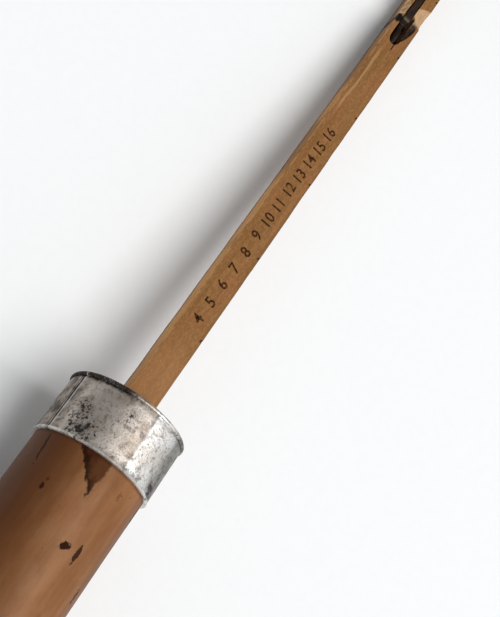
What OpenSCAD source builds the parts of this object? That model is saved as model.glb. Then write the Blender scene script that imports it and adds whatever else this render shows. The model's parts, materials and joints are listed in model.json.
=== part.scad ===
// Measuring cane: a hollow rattan shaft, and a square boxwood rule that is drawn out of it by the crook handle.
// A metal arm with a small spirit level folds out of a slot in the rule. The cane lies along X, with its foot at
// the origin, the handle towards +X and the rule's slotted face up. It is drawn out as far as when it was seen.

/* [Shaft] */
// Length from the flat end of the foot to the mouth
mouth_x = 826; // [800:1:860]
// Radius just below the collar
shaft_r_top = 13.1; // [12.4:0.1:14]
// Radius just above the ferrule
shaft_r_low = 8.7; // [8.6:0.1:9.4]
// How late the shaft swells towards the mouth, 1 for an even taper
shaft_swell = 1.8; // [1:0.1:3]
// Radius of the long bore
bore_r = 5.7; // [5.65:0.05:6]

/* [Collar] */
// Length of the collar
collar_l = 14.2; // [10:0.1:24]
// Thickness of its silver
collar_wall = 0.7; // [0.5:0.05:1]
// Radius of the rolled bead round its mouth
bead_r = 0.5; // [0.4:0.05:0.8]
// How far the bead stands out of the band
bead_out = 0.35; // [0.1:0.05:0.5]
// Height of the thin lip at its lower edge
lip_h = 0.5; // [0.3:0.1:1]
// How far that lip stands out of the band
lip_out = 0.1; // [0.05:0.01:0.3]
// Radius of the guide bush
bush_r = 8; // [7:0.1:9]
// Length of the guide bush
bush_l = 14; // [8:0.5:24]

/* [Ferrule] */
// Length of the metal cup
ferrule_l = 42; // [30:1:60]
// Outer radius of the cup
ferrule_r = 8.5; // [8.3:0.05:8.6]
// Thickness of the cup
ferrule_wall = 0.8; // [0.5:0.05:1]
// Length of the raised band at the top of the cup
ferrule_band_l = 6; // [4:0.5:10]
// How far that band stands out
ferrule_band_out = 0.35; // [0.2:0.05:0.6]
// Thickness of the steel tip
tip_t = 3; // [2:0.5:5]
// Radius of the steel tip
tip_r = 8.1; // [7.5:0.1:8.3]
// Radius of the spike that holds the tip
spike_r = 1.9; // [1.2:0.1:2.5]
// Length of that spike
spike_l = 20; // [10:1:24]
// Length of the wooden plug in the foot of the bore
plug_l = 26; // [22:1:32]

/* [Rule] */
// Width of the square rule
rule_w = 7.3; // [6.9:0.1:7.5]
// Length of the rule from the handle to its inner end
rule_l = 786; // [700:1:790]
// How far the rule is drawn out of the mouth
draw = 361.9; // [300:0.1:420]
// Distance from one inch notch to the next
notch_step = 25.4; // [25:0.1:26]
// Height of the lowest notch in sight above the mouth
first_notch = 22; // [5:0.1:25]
// Width of a notch
notch_w = 0.35; // [0.2:0.05:0.6]
// Depth of a notch
notch_d = 0.45; // [0.2:0.05:0.8]
// Length of the shoe on the inner end
shoe_l = 7; // [6:0.5:12]
// Length of the leaf spring
spring_l = 44; // [36:1:60]
// Thickness of the leaf spring
spring_t = 0.35; // [0.25:0.05:0.5]
// Width of the leaf spring
spring_w = 4; // [3:0.1:4.4]

/* [Arm] */
// Height of the arm's nose above the mouth, as seen
nose_up = 127; // [110:0.1:140]
// Thickness of the bar
bar_w = 1.9; // [1.6:0.05:2]
// Depth of the bar
bar_d = 5; // [4.6:0.1:5.2]
// Length of the rounded nose
nose_l = 6.8; // [5:0.1:9]
// Radius of the rounded nose
nose_r = 1; // [0.8:0.05:1.2]
// How far the nose lies off the middle of the bar, towards the notches
nose_off = 0.4; // [0:0.05:0.5]
// How far the nose lies below the bar's face
nose_drop = 0.9; // [0.5:0.1:1.5]
// Length of the nail nick between nose and bar
nick_l = 2.1; // [1:0.1:3]
// Width of the heel that holds the level
heel_w = 4.8; // [4.6:0.1:4.9]
// Length of that heel from the pivot
heel_l = 44; // [40:1:60]
// Radius of the hinge pin
hinge_r = 1; // [0.8:0.05:1.2]
// Width of the slot for the bar
slot_w = 2.4; // [2.2:0.05:2.8]
// How far the slot lies off the middle of the rule, away from the notches
slot_off = 0.95; // [0:0.05:1]
// Width of the gouged pocket for the nose
pocket_w = 3.4; // [2.8:0.1:4]
// Length of that pocket
pocket_l = 14.6; // [12:0.2:17]
// How far its middle lies off the middle of the rule
pocket_off = 0.5; // [0:0.05:0.6]
// Length of the second, slanting gouge that widens the pocket towards the notches
flare_l = 11.2; // [8:0.2:13]
// Width of that gouge
flare_w = 4; // [3:0.1:5]
// Depth of that gouge
flare_d = 1.7; // [1:0.1:2.2]
// Angle of that gouge to the rule
flare_turn = 13; // [0:1:20]
// How far its middle lies off the middle of the rule
flare_off = 0.45; // [0.3:0.05:1]
// Length of the finger scoops at the rule's edges
scoop_l = 8.8; // [6:0.1:12]
// Depth of the finger scoops at the rule's edges
scoop_d = 1.8; // [1:0.1:2.6]
// Depth of the finger scoops beside the slot
scoop_rim = 0.45; // [0.2:0.05:0.8]
// How much nearer the mouth the scoop without notches sits
scoop_stagger = 0.4; // [0:0.1:3]

/* [Level] */
// Radius of the glass tube
vial_r = 1.6; // [1.4:0.05:1.7]
// Length of the glass tube
vial_l = 22; // [16:1:26]
// Thickness of the glass
glass_t = 0.4; // [0.3:0.05:0.6]
// Length of the bubble
bubble_l = 4; // [3:0.5:6]
// Thickness of the cover plate
cover_t = 0.5; // [0.4:0.05:0.6]
// Width of the window in the cover
window_w = 1.8; // [1.2:0.1:2.2]

/* [Handle] */
// Length of the silver cap on the handle's foot
sleeve_l = 22; // [18:0.5:35]
// Outer radius of that cap
sleeve_r = 13.6; // [13:0.1:14]
// Thickness of that cap
sleeve_wall = 0.6; // [0.4:0.05:0.9]
// Radius of the rattan above the cap
handle_r = 12.9; // [12.6:0.1:13.2]
// Radius of the rattan round the crook
crook_r = 12; // [11:0.1:12.8]
// Radius of the crook's centre line
crook_bend = 42; // [36:0.5:55]
// Length of the straight stem between cap and crook
stem_l = 32; // [28:1:60]
// Length of the straight part at the crook's nose
crook_tail = 16; // [0:1:40]
// Radius of the rod inside the handle
tang_r = 2.8; // [2:0.1:3.2]
// Radius of the cross pin
cross_pin_r = 1.2; // [0.8:0.1:1.6]

/* [Fits] */
// Gap between the rule and each side of the square hole, and round the shoe
slide_gap = 0.1; // [0.05:0.01:0.15]
// Gap round the arm in its slot
arm_gap = 0.2; // [0.1:0.05:0.3]
// Radial gap between the hinge pin and the heel
pin_gap = 0.04; // [0.02:0.01:0.08]
// Gap at each face of the friction washers
washer_gap = 0.02; // [0.01:0.01:0.05]

/* [Hidden] */
$fn = 64;
cut = 1;                                    // how far a cutter runs past what it cuts
half_w = rule_w / 2;

// Shaft and collar
collar_r = shaft_r_top + collar_wall;
bead_mid_r = collar_r + bead_out - bead_r;
bush_cover = 1.2;                           // how far the turned-in silver covers the bush
bush_top = mouth_x - collar_wall;
ferrule_bore = ferrule_r - ferrule_wall;
ferrule_top = tip_t + ferrule_l;
tip_boss = 5;                               // how far the tip reaches into the cup
tip_chamfer = 0.8;
shaft_foot = tip_t + tip_boss;
plug_top = shaft_foot + plug_l;
ferrule_pin_r = 0.6;
ferrule_pin_l = 2.4;
ferrule_pin_out = 0.15;
ferrule_pin_x = ferrule_top - ferrule_band_l / 2;
ferrule_band_r = ferrule_r + ferrule_band_out;
mouth_hole = rule_w + 2 * slide_gap;

// Rule and head
sleeve_foot = mouth_x + draw;               // the face that meets the collar when the cane is shut
swing_room = 2.5;                           // room under the open arm when the cane is shut
face_gap = 0.1;                             // how far the arm's face lies below the rule's
pivot_x = sleeve_foot + bar_d / 2 + swing_room;
pivot_z = half_w - face_gap - bar_d / 2;
slot_floor = pivot_z - bar_d / 2 - arm_gap;
block_past = 4;                             // how far the block reaches past the heel
block_foot = pivot_x - heel_l - block_past;
block_up = 24;                              // how far it reaches past the hinge, into the handle
block_top = pivot_x + block_up;
washer_room = 0.3;                          // room for a washer at each side of the heel
heel_slot_w = heel_w + 2 * washer_room;
swing_r = bar_d / 2 + arm_gap;
rule_foot = sleeve_foot - rule_l;
shoe_r = bore_r - slide_gap;
shoe_floor = 2;
notch_count = floor((block_foot - mouth_x - first_notch) / notch_step) + 1;
hidden_notches = floor((mouth_x + first_notch - rule_foot - shoe_l) / notch_step);
tongue_share = 0.65;                        // part of the wood under the slot that the tongue takes
tongue_t = tongue_share * (half_w + slot_floor);
tongue_l = 20;
tongue_w = 4.5;
head_rivet_r = 0.8;
rivet_in = 4.5;                             // distance of each rivet from its end of the tongue
tab_l = 7;
spring_foot = rule_foot + shoe_l;
spring_room = 0.5;                          // room between the bowed leaf and the deepest line of the bore
spring_rise = bore_r - spring_room - half_w - spring_t;
spring_rivet_r = 0.8;

// Arm and level
nose_x = mouth_x + nose_up;
step_x = nose_x + nose_l + nick_l;
arm_top = pivot_z + bar_d / 2;
arm_floor = pivot_z - bar_d / 2;
nose_z = arm_top - nose_drop - nose_r;
nose_y = slot_off - nose_off;
web_w = 1.3;                                // width of the web that carries the nose
web_rise = 0.8;                             // how far that web stands above the bar's underside
web_floor = arm_floor + web_rise;
nose_gap = 0.4;                             // gap past the nose and past the end of the bar
bed_foot = nose_x - nose_gap;
slot_foot = step_x - nose_gap;
pocket_lead = 1.2;                          // how far the pocket runs past the nose
pocket_foot = nose_x - pocket_lead;
pocket_under = 0.9;                         // how far its floor lies below the middle of the nose
pocket_d = half_w - nose_z + pocket_under;
flare_lead = 1;                             // how far past the pocket's foot the slanting gouge starts
scoop_mid = step_x + scoop_l / 2 + nose_gap;
scoop_r = (pow(scoop_l / 2, 2) + pow(scoop_d, 2)) / (2 * scoop_d);
washer_t = washer_room - 2 * washer_gap;
washer_r = bar_d / 2 - face_gap;
vial_back = 1.5;                            // how far the glass sits past the middle of the heel
vial_mid = pivot_x - heel_l / 2 - vial_back;
vial_z = arm_top - cover_t - vial_r;
cover_end = 5.5;                            // length of the cover beyond each end of the glass
cover_l = vial_l + 2 * cover_end;
window_end = 2;                             // length of glass that the cover hides at each end
window_l = vial_l - 2 * window_end;
level_screw_r = 0.6;
level_screw_l = 2.4;
level_head_r = 1.1;
level_head_h = 0.35;
screw_off = cover_l / 2 - 2 * level_head_r;

// Handle
stem_foot = sleeve_foot + sleeve_wall;
stem_top = sleeve_foot + sleeve_l + stem_l;
tang_in = 9;                                // length of the rod's thread in the block
tang_foot = block_top - tang_in;
tang_end = 2;                               // how far the rod ends below the top of the stem
tang_top = stem_top - tang_end;
cross_pin_up = 10;                          // distance of the cross pin from the hinge
cross_pin_x = pivot_x + cross_pin_up;

// Turns +Z along the cane and moves the foot of what it holds to x
module along(x) {
    translate([x, 0, 0]) rotate([0, 90, 0]) children();
}

module rod(x0, x1, r) {
    along(x0) cylinder(h = x1 - x0, r = r);
}

// A box along the cane, centred on Y
module bar(x0, x1, width, z0, z1) {
    translate([x0, -width / 2, z0]) cube([x1 - x0, width, z1 - z0]);
}

// A cylinder across the cane, centred on Y
module cross(x, z, r, width) {
    translate([x, width / 2, z]) rotate([90, 0, 0]) cylinder(h = width, r = r);
}

// Radius of the rattan at a part t of the way from ferrule to collar
function shaft_r(t) = shaft_r_low + (shaft_r_top - shaft_r_low) * pow(t, shaft_swell);

module ferrule_pins_form() {
    for (side = [-1, 1])
        translate([ferrule_pin_x, side * (ferrule_band_r + ferrule_pin_out), 0])
            rotate([90 * side, 0, 0]) cylinder(h = ferrule_pin_l, r = ferrule_pin_r, $fn = 24);
}

module shaft() color("saddlebrown") {
    steps = 20;
    x1 = mouth_x - collar_l;
    difference() {
        along(0) rotate_extrude() polygon(concat(
            [[0, shaft_foot], [ferrule_bore, shaft_foot], [ferrule_bore, ferrule_top]],
            [for (i = [0:steps]) [shaft_r(i / steps), ferrule_top + (x1 - ferrule_top) * i / steps]],
            [[shaft_r_top, bush_top], [0, bush_top]]));
        rod(shaft_foot - cut, mouth_x + cut, bore_r);
        rod(bush_top - bush_l, mouth_x + cut, bush_r);
        ferrule_pins_form();
    }
}

module collar() color("silver") {
    along(mouth_x - collar_l) rotate_extrude() difference() {
        union() {
            translate([shaft_r_top, 0]) square([collar_wall, collar_l - bead_r]);
            translate([shaft_r_top, 0]) square([collar_wall + lip_out, lip_h]);
            translate([bush_r - bush_cover, collar_l - collar_wall])
                square([bead_mid_r - bush_r + bush_cover, collar_wall]);
            translate([bead_mid_r, collar_l - bead_r]) circle(r = bead_r, $fn = 32);
        }
        translate([0, -cut]) square([shaft_r_top, collar_l - collar_wall + cut]);
    }
}

module mouth_bush() color("goldenrod") {
    difference() {
        rod(bush_top - bush_l, bush_top, bush_r);
        bar(bush_top - bush_l - cut, bush_top + cut, mouth_hole, -mouth_hole / 2, mouth_hole / 2);
    }
}

module shaft_plug() color("burlywood") {
    difference() {
        rod(shaft_foot, plug_top, bore_r);
        rod(shaft_foot - cut, tip_t + spike_l, spike_r);
    }
}

module ferrule() color("darkkhaki") {
    difference() {
        union() {
            rod(tip_t, ferrule_top, ferrule_r);
            rod(ferrule_top - ferrule_band_l, ferrule_top, ferrule_band_r);
        }
        rod(tip_t - cut, ferrule_top + cut, ferrule_bore);
        ferrule_pins_form();
    }
}

module ferrule_tip() color("dimgray") {
    along(0) cylinder(h = tip_chamfer, r1 = tip_r - tip_chamfer, r2 = tip_r);
    rod(tip_chamfer, tip_t, tip_r);
    rod(tip_t, shaft_foot, ferrule_bore);
    rod(shaft_foot, tip_t + spike_l, spike_r);
}

module ferrule_pins() color("darkkhaki") {
    ferrule_pins_form();
}

// Tilt of a scoop: 1 for the one away from the notches, -1 for the one beside them
function scoop_tilt(side) = atan((scoop_d - scoop_rim) / (half_w - side * slot_off - slot_w / 2));

// The two finger scoops: cylinders across the rule, tilted so that they are deepest at its edges
module scoop_cut() {
    for (side = [-1, 1]) translate([scoop_mid - max(side, 0) * scoop_stagger, slot_off, 0]) intersection() {
        translate([0, side * slot_w / 2, half_w - scoop_rim])
            rotate([-side * scoop_tilt(side), 0, 0])
                translate([0, 0, scoop_r]) cross(0, 0, scoop_r, 4 * rule_w);
        translate([-scoop_r, (side - 1) * rule_w, -half_w]) cube([2 * scoop_r, 2 * rule_w, rule_w + cut]);
    }
}

// The trough that a round-edged disc leaves in the rule's face
module trough_cut(length, width, depth) {
    bend = (pow(length / 2, 2) + pow(depth, 2)) / (2 * depth);
    translate([0, 0, half_w + bend - depth]) rotate([90, 0, 0]) {
        rotate_extrude() translate([bend - width / 2, 0]) circle(r = width / 2, $fn = 48);
        cylinder(h = width, r = bend - width / 2, center = true);
    }
}

// Room for the nose: a deep pocket, a slanting gouge beside it and a narrow bed under the nose
module pocket_cut() {
    translate([pocket_foot + pocket_l / 2, pocket_off, 0]) trough_cut(pocket_l, pocket_w, pocket_d);
    translate([pocket_foot + flare_lead + flare_l / 2, -flare_off, 0])
        rotate([0, 0, -flare_turn]) trough_cut(flare_l, flare_w, flare_d);
    translate([0, nose_y, 0]) bar(bed_foot, step_x, 2 * (nose_r + arm_gap), slot_floor, half_w + cut);
}

// Two rivets through the tongue and the wood under the slot; past is how far their holes are cut beyond them
module head_rivets_form(past = 0) {
    for (x = [block_foot - tongue_l + rivet_in, block_foot - rivet_in])
        translate([x, 0, -half_w - past])
            cylinder(h = slot_floor + half_w + 2 * past, r = head_rivet_r, $fn = 24);
}

module spring_rivet_form(past = 0) {
    translate([spring_foot + tab_l / 2, 0, -half_w - spring_t - past])
        cylinder(h = spring_t + half_w + past, r = spring_rivet_r, $fn = 24);
}

module rule() color("peru") {
    difference() {
        bar(rule_foot + shoe_floor, block_foot, rule_w, -half_w, half_w);
        translate([0, slot_off, 0]) bar(slot_foot, block_foot + cut, slot_w, slot_floor, half_w + cut);
        pocket_cut();
        scoop_cut();
        bar(block_foot - tongue_l, block_foot + cut, tongue_w, -half_w - cut, -half_w + tongue_t);
        for (i = [-hidden_notches:notch_count - 1])
            translate([mouth_x + first_notch + i * notch_step, -half_w, half_w])
                cube([notch_w, 2 * notch_d, 2 * notch_d], center = true);
        head_rivets_form(cut);
        spring_rivet_form(cut);
    }
}

module rule_shoe() color("goldenrod") {
    difference() {
        rod(rule_foot, rule_foot + shoe_l, shoe_r);
        bar(rule_foot + shoe_floor, rule_foot + shoe_l + cut, rule_w, -half_w, half_w);
    }
}

// A leaf with a flat tab at the shoe, bowed down to within a little of the bore
module friction_spring() color("slategray") {
    bow_l = spring_l - tab_l;
    bow_r = (pow(bow_l / 2, 2) + pow(spring_rise, 2)) / (2 * spring_rise);
    bow_x = spring_foot + tab_l + bow_l / 2;
    bow_z = -half_w - spring_t - spring_rise + bow_r;
    difference() {
        union() {
            bar(spring_foot, spring_foot + tab_l, spring_w, -half_w - spring_t, -half_w);
            intersection() {
                cross(bow_x, bow_z, bow_r, spring_w, $fn = 360);
                bar(bow_x - bow_l / 2, bow_x + bow_l / 2, spring_w, -bore_r, -half_w);
            }
        }
        cross(bow_x, bow_z, bow_r - spring_t, spring_w + cut, $fn = 360);
        spring_rivet_form(cut);
    }
}

module spring_rivet() color("darkgoldenrod") {
    spring_rivet_form();
}

// The slot for the arm's heel, with a round end about the pivot and open above it
module heel_slot(x0, width) {
    bar(x0, pivot_x, width, slot_floor, half_w + cut);
    cross(pivot_x, pivot_z, swing_r, width);
    bar(pivot_x - swing_r, pivot_x + swing_r, width, pivot_z, half_w + cut);
}

module head_block() color("gray") {
    difference() {
        union() {
            bar(block_foot, block_top, rule_w, -half_w, half_w);
            bar(block_foot - tongue_l, block_foot, tongue_w, -half_w, -half_w + tongue_t);
        }
        heel_slot(block_foot - cut, heel_slot_w);
        cross(pivot_x, pivot_z, hinge_r, rule_w + 2 * cut);
        cross(cross_pin_x, 0, cross_pin_r, rule_w + 2 * cut);
        rod(tang_foot, block_top + cut, tang_r);
        head_rivets_form(cut);
    }
}

module head_rivets() color("darkgoldenrod") {
    head_rivets_form();
}

module hinge_pin() color("dimgray") {
    cross(pivot_x, pivot_z, hinge_r, rule_w);
}

module hinge_washers() color("goldenrod") {
    for (side = [-1, 1]) translate([0, side * (heel_w + washer_room) / 2, 0]) difference() {
        cross(pivot_x, pivot_z, washer_r, washer_t);
        cross(pivot_x, pivot_z, hinge_r + pin_gap, washer_t + cut);
    }
}

// The way out of the handle for the arm as it swings up
module swing_cut() {
    bar(sleeve_foot - cut, pivot_x + swing_r, heel_slot_w, pivot_z, sleeve_r + cut);
}

module handle_sleeve() color("silver") {
    edge = 0.5;
    difference() {
        along(sleeve_foot) rotate_extrude() polygon([[0, 0], [sleeve_r - edge, 0], [sleeve_r, edge],
            [sleeve_r, sleeve_l - edge], [sleeve_r - edge / 2, sleeve_l], [0, sleeve_l]]);
        rod(stem_foot, sleeve_foot + sleeve_l + cut, sleeve_r - sleeve_wall);
        bar(sleeve_foot - cut, stem_foot + cut, rule_w, -half_w, half_w);
        swing_cut();
        cross(cross_pin_x, 0, cross_pin_r, 2 * sleeve_r + cut);
    }
}

module handle() color("saddlebrown") {
    cap_top = sleeve_foot + sleeve_l;
    blend = 4;
    difference() {
        union() {
            rod(stem_foot, cap_top, sleeve_r - sleeve_wall);
            along(cap_top) cylinder(h = blend, r1 = sleeve_r - sleeve_wall, r2 = handle_r);
            along(cap_top + blend) cylinder(h = stem_l - blend, r1 = handle_r, r2 = crook_r);
            translate([stem_top, crook_bend, 0]) rotate([0, 0, -90])
                rotate_extrude(angle = 180) translate([crook_bend, 0]) circle(r = crook_r);
            translate([0, 2 * crook_bend, 0]) rod(stem_top - crook_tail, stem_top, crook_r);
            translate([stem_top - crook_tail, 2 * crook_bend, 0]) sphere(r = crook_r);
        }
        bar(stem_foot - cut, block_top, rule_w, -half_w, half_w);
        rod(block_top - cut, tang_top, tang_r);
        swing_cut();
        cross(cross_pin_x, 0, cross_pin_r, 2 * sleeve_r + cut);
    }
}

module handle_tang() color("dimgray") {
    rod(tang_foot, tang_top, tang_r);
}

module handle_pin() color("silver") {
    cross(cross_pin_x, 0, cross_pin_r, 2 * sleeve_r);
}

module level_screws_form() {
    for (side = [-1, 1]) translate([vial_mid + side * screw_off, 0, arm_top]) {
        translate([0, 0, -level_screw_l]) cylinder(h = level_screw_l, r = level_screw_r, $fn = 24);
        translate([0, 0, -level_head_h]) cylinder(h = level_head_h, r1 = level_screw_r, r2 = level_head_r, $fn = 24);
    }
}

module level_cover_form(length, width, z0, z1) {
    bar(vial_mid - length / 2, vial_mid + length / 2, width, z0, z1);
}

// The nose: a rounded lump on a low web that starts under the nail nick
module nose() {
    translate([0, slot_off - nose_off / 2, 0])
        bar(nose_x + nose_r, step_x + web_w, web_w, web_floor, nose_z);
    translate([0, nose_y, nose_z]) {
        rod(nose_x + nose_r, nose_x + nose_l - nose_r, nose_r, $fn = 32);
        for (x = [nose_x + nose_r, nose_x + nose_l - nose_r]) translate([x, 0, 0]) sphere(r = nose_r, $fn = 32);
    }
}

// The arm: a deep thin bar with a heel about the pivot, a square step, a nail nick and a low rounded nose
module arm() color("darkslategray") {
    difference() {
        union() {
            cross(pivot_x, pivot_z, bar_d / 2, heel_w);
            bar(pivot_x - heel_l, pivot_x, heel_w, arm_floor, arm_top);
            translate([0, slot_off, 0]) bar(step_x, pivot_x - heel_l, bar_w, arm_floor, arm_top);
            nose();
        }
        cross(pivot_x, pivot_z, hinge_r + pin_gap, heel_w + cut);
        translate([0, 0, vial_z]) rod(vial_mid - vial_l / 2, vial_mid + vial_l / 2, vial_r);
        bar(vial_mid - vial_l / 2, vial_mid + vial_l / 2, 2 * vial_r, vial_z, arm_top + cut);
        level_cover_form(cover_l, heel_w + cut, arm_top - cover_t, arm_top + cut);
        level_screws_form();
    }
}

module level_vial() color("lightcyan") {
    translate([0, 0, vial_z]) difference() {
        rod(vial_mid - vial_l / 2, vial_mid + vial_l / 2, vial_r);
        rod(vial_mid - vial_l / 2 + glass_t, vial_mid + vial_l / 2 - glass_t, vial_r - glass_t);
    }
}

module level_spirit() color("yellowgreen") {
    bubble_r = 0.45;
    film = 0.1;                             // liquid between the bubble and the glass
    bubble_z = vial_z + vial_r - glass_t - bubble_r - film;
    difference() {
        translate([0, 0, vial_z])
            rod(vial_mid - vial_l / 2 + glass_t, vial_mid + vial_l / 2 - glass_t, vial_r - glass_t);
        translate([0, 0, bubble_z])
            rod(vial_mid - bubble_l / 2 + bubble_r, vial_mid + bubble_l / 2 - bubble_r, bubble_r);
        for (side = [-1, 1])
            translate([vial_mid + side * (bubble_l / 2 - bubble_r), 0, bubble_z]) sphere(r = bubble_r, $fn = 32);
    }
}

module level_cover() color("goldenrod") {
    difference() {
        level_cover_form(cover_l, heel_w, arm_top - cover_t, arm_top);
        level_cover_form(window_l - window_w, window_w, arm_top - cover_t - cut, arm_top + cut);
        for (side = [-1, 1])
            translate([vial_mid + side * (window_l - window_w) / 2, 0, arm_top - cover_t - cut])
                cylinder(h = cover_t + 2 * cut, r = window_w / 2, $fn = 32);
        level_screws_form();
    }
}

module level_screws() color("goldenrod") {
    level_screws_form();
}

shaft();
collar();
mouth_bush();
shaft_plug();
ferrule();
ferrule_tip();
ferrule_pins();
rule();
rule_shoe();
friction_spring();
spring_rivet();
head_block();
head_rivets();
hinge_pin();
hinge_washers();
handle_sleeve();
handle();
handle_tang();
handle_pin();
arm();
level_vial();
level_spirit();
level_cover();
level_screws();
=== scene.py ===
import json
import math

import bpy
from mathutils import Matrix, Vector, noise


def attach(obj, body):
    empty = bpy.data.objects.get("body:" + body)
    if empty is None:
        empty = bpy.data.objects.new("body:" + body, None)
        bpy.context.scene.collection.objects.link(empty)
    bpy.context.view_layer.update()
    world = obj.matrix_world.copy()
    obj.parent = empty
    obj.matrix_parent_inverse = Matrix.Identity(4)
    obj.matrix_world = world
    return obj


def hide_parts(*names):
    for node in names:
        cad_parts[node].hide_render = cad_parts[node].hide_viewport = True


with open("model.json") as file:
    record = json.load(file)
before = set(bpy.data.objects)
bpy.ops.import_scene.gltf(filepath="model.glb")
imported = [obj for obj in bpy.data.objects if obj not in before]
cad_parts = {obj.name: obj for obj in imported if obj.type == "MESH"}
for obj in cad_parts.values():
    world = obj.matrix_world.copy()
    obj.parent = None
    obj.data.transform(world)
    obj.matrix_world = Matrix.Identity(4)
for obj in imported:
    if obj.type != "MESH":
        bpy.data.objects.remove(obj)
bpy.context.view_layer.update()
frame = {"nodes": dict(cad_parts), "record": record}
nodes = frame["nodes"]
mm = 0.001
mouthX = 826.0  # everything that shows lies near the mouth of the shaft
half = 3.65  # half of the square rule's width
armTop = half - 0.1  # the arm lies a little below the rule's face
armFloor = armTop - 5.0
hair = 0.02  # pieces that are joined or cut together differ by this, so that no two faces share a plane
past = 1.0  # how far a cutter reaches past what it cuts

# helpers for modelling


def deselect():
    if bpy.context.object and bpy.context.object.mode != "OBJECT":
        bpy.ops.object.mode_set(mode="OBJECT")
    bpy.ops.object.select_all(action="DESELECT")


def pick(piece):
    deselect()
    piece.select_set(True)
    bpy.context.view_layer.objects.active = piece
    return piece


def edit(piece):
    pick(piece)
    bpy.ops.object.mode_set(mode="EDIT")
    bpy.ops.mesh.select_mode(type="VERT")
    bpy.ops.mesh.select_all(action="SELECT")


def leaveEdit(merge=True):
    bpy.ops.mesh.select_all(action="SELECT")
    if merge:
        bpy.ops.mesh.remove_doubles(threshold=0.002 * mm)
    bpy.ops.mesh.normals_make_consistent(inside=False)
    bpy.ops.object.mode_set(mode="OBJECT")


def applyPlace(piece):
    pick(piece)
    bpy.ops.object.transform_apply(location=True, rotation=True, scale=True)


def block(name, low, high):
    # a cube between two corners in mm
    deselect()
    centre = [(a + b) / 2 * mm for a, b in zip(low, high)]
    size = [(b - a) * mm for a, b in zip(low, high)]
    bpy.ops.mesh.primitive_cube_add(size=1, location=centre, scale=size)
    piece = bpy.context.object
    piece.name = name
    applyPlace(piece)
    return piece


def rodAcross(name, centre, radius, width, sides=48):
    # a cylinder across the rule, along Y
    deselect()
    bpy.ops.mesh.primitive_cylinder_add(vertices=sides, radius=radius * mm, depth=width * mm,
                                        location=[c * mm for c in centre], rotation=(math.pi / 2, 0, 0))
    piece = bpy.context.object
    piece.name = name
    applyPlace(piece)
    return piece


def turned(name, outline, steps=96):
    # a profile of (place along X, radius) in mm, spun about the cane's axis
    deselect()
    bpy.ops.mesh.primitive_plane_add(size=mm)
    piece = bpy.context.object
    piece.name = name
    edit(piece)
    bpy.ops.mesh.merge(type="CENTER")
    bpy.ops.transform.translate(value=(outline[0][0] * mm, 0, outline[0][1] * mm))
    for before, after in zip(outline, outline[1:]):
        move = ((after[0] - before[0]) * mm, 0, (after[1] - before[1]) * mm)
        bpy.ops.mesh.extrude_region_move(TRANSFORM_OT_translate={"value": move})
    bpy.ops.mesh.select_all(action="SELECT")
    bpy.ops.mesh.spin(steps=steps, angle=2 * math.pi, center=(0, 0, 0), axis=(1, 0, 0))
    leaveEdit()
    return piece


def carve(piece, cutter, operation="DIFFERENCE"):
    pick(piece)
    tool = piece.modifiers.new("carve", "BOOLEAN")
    tool.operation = operation
    tool.solver = "EXACT"
    tool.object = cutter
    bpy.ops.object.modifier_apply(modifier=tool.name)
    bpy.data.objects.remove(cutter)


def drill(piece, x, middle, radius):
    # a round hole straight down, 3 mm above and below its middle
    hole = rodAcross("drill", (0, 0, 0), radius, 6, 24)
    hole.rotation_euler = (math.pi / 2, 0, 0)
    hole.location = (x * mm, 0, middle * mm)
    applyPlace(hole)
    carve(piece, hole)


def roundEdges(piece, width, segments=2, angle=35):
    pick(piece)
    tool = piece.modifiers.new("edges", "BEVEL")
    tool.width = width * mm
    tool.segments = segments
    tool.limit_method = "ANGLE"
    tool.angle_limit = math.radians(angle)
    bpy.ops.object.modifier_apply(modifier=tool.name)


def waver(piece, depth, size, chosen=None):
    # lets the surface sink here and there by up to depth, as on hand-made and worn things
    pick(piece)
    clouds = bpy.data.textures.new(piece.name + "Waver", "CLOUDS")
    clouds.noise_scale = size * mm
    tool = piece.modifiers.new("waver", "DISPLACE")
    tool.texture = clouds
    tool.texture_coords = "LOCAL"
    tool.mid_level = 1
    tool.strength = depth * mm
    if chosen:
        group = piece.vertex_groups.new(name="worn")
        group.add([v.index for v in piece.data.vertices if chosen(v.co / mm)], 1, "REPLACE")
        tool.vertex_group = group.name
    bpy.ops.object.modifier_apply(modifier=tool.name)


def smooth(piece, angle=30):
    pick(piece)
    bpy.ops.object.shade_smooth_by_angle(angle=math.radians(angle))


def cleanUp(piece, reach=0.004):
    # melts the slivers that cutting leaves behind
    edit(piece)
    bpy.ops.mesh.remove_doubles(threshold=reach * mm)
    bpy.ops.mesh.dissolve_degenerate(threshold=reach * mm)
    leaveEdit()


def finishPiece(piece, body, replaced, material):
    piece.data.materials.clear()
    piece.data.materials.append(material)
    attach(piece, body)
    if replaced:
        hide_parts(*replaced)
    deselect()


# helpers for materials


def paint(r, g, b):
    # a colour as it is picked on screen, made linear
    shares = (r / 255, g / 255, b / 255)
    linear = [c / 12.92 if c <= 0.04045 else ((c + 0.055) / 1.055) ** 2.4 for c in shares]
    return (*linear, 1)


def newMaterial(name, metallic=0.0, roughness=0.5, specular=0.5):
    made = bpy.data.materials.new(name)
    made.use_nodes = True
    shader = made.node_tree.nodes["Principled BSDF"]
    shader.inputs["Metallic"].default_value = metallic
    shader.inputs["Roughness"].default_value = roughness
    shader.inputs["Specular IOR Level"].default_value = specular
    return made


def add(mat, kind, inputs={}, **settings):
    made = mat.node_tree.nodes.new("ShaderNode" + kind)
    for key, value in settings.items():
        setattr(made, key, value)
    for key, value in inputs.items():
        if isinstance(value, bpy.types.NodeSocket):
            mat.node_tree.links.new(value, made.inputs[key])
        else:
            made.inputs[key].default_value = value
    return made


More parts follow.
